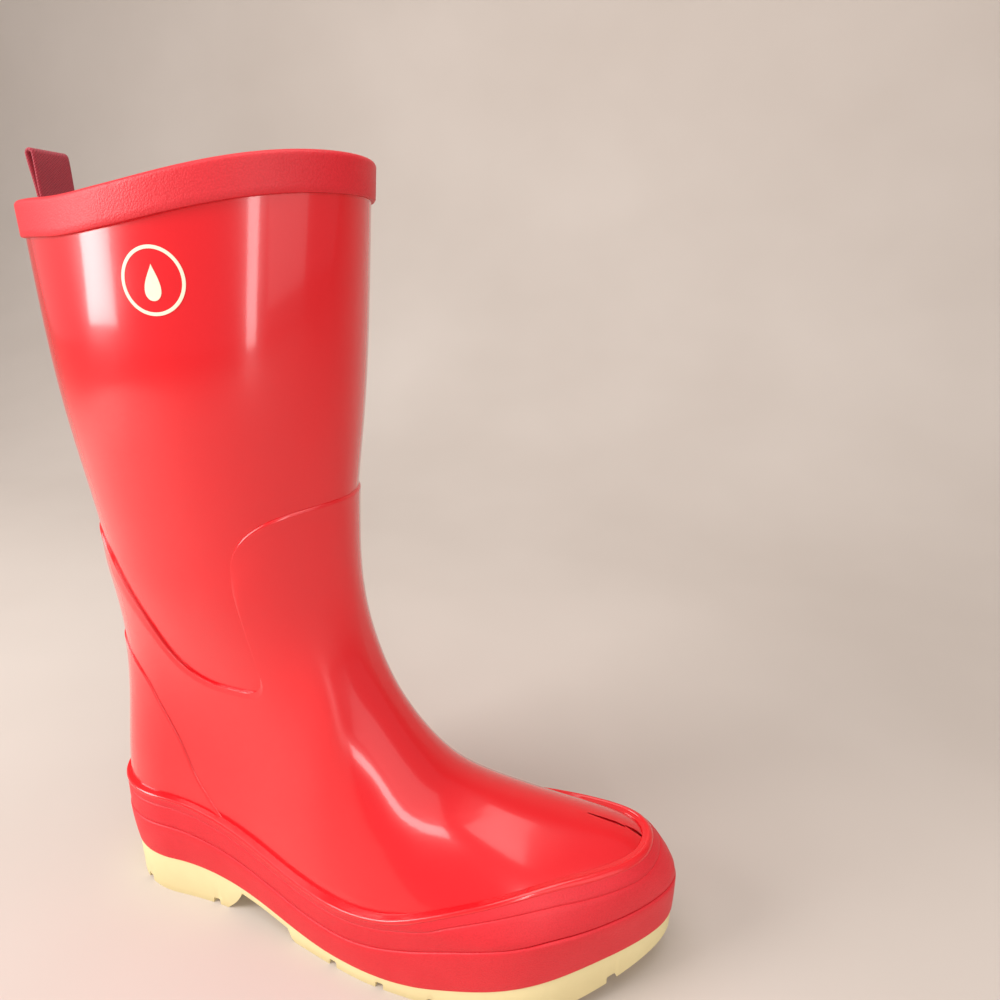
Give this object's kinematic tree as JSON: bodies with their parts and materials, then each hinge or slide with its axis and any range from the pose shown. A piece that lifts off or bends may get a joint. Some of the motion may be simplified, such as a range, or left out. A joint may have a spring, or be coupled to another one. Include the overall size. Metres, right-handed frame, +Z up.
{
  "type": "rubber rain boot",
  "caption": "Mid-calf red rubber rain boot for the right foot: glossy leg and vamp, pebbled collar and foxing, cream grooved sole, webbing pull loop and removable footbed.",
  "frame": {"origin": "middle of the heel's tread, on the floor", "axes": "+X towards the toe, +Z up the leg, +Y towards the inner side of the foot"},
  "size_m": [0.3005, 0.1016, 0.3638],
  "materials": {
    "gloss_red_rubber": "glossy",
    "pebbled_red_rubber": "satin, finely pebbled",
    "cream_rubber": "matt",
    "red_webbing": "woven",
    "lining_cloth": "woven",
    "cream_ink": "satin",
    "knit_lining": "knitted",
    "fibreboard": "matt",
    "shank_steel": "brushed",
    "filler_rubber": "matt",
    "footbed_foam": "matt, foamed"
  },
  "bodies": {
    "boot": {"leg_panel": "gloss_red_rubber", "vamp_panel": "gloss_red_rubber", "heel_counter": "gloss_red_rubber", "welt_bead": "gloss_red_rubber", "collar_band": "pebbled_red_rubber", "foxing_upper": "pebbled_red_rubber", "foxing_lower": "pebbled_red_rubber", "outsole": "cream_rubber", "loop_tails": "red_webbing", "loop_patch": "lining_cloth", "lining_seam_tape": "lining_cloth", "side_print": "cream_ink", "leg_lining": "knit_lining", "foot_lining": "knit_lining", "ankle_reinforcement": "lining_cloth", "heel_stiffener": "fibreboard", "toe_puff": "fibreboard", "quarter_interlining_lateral": "lining_cloth", "quarter_interlining_medial": "lining_cloth", "insole_board": "fibreboard", "shank": "shank_steel", "heel_filler": "filler_rubber", "forefoot_filler": "filler_rubber"},
    "pull_loop": {"pull_loop": "red_webbing"},
    "footbed": {"footbed_foam": "footbed_foam", "footbed_cover": "lining_cloth"}
  },
  "joints": [
    {"name": "pull_loop_fold", "type": "hinge", "parent": "boot", "child": "pull_loop", "pos_m": [-0.03871, 0, 0.34395], "axis": [0, 1, 0], "range_deg": [-70, 80], "stiffness_Nm_per_rad": 0.002},
    {"name": "footbed_lift", "type": "hinge", "parent": "boot", "child": "footbed", "pos_m": [0.236, 0.012, 0.0335], "axis": [0, 1, 0], "range_deg": [0, 3]}
  ]
}
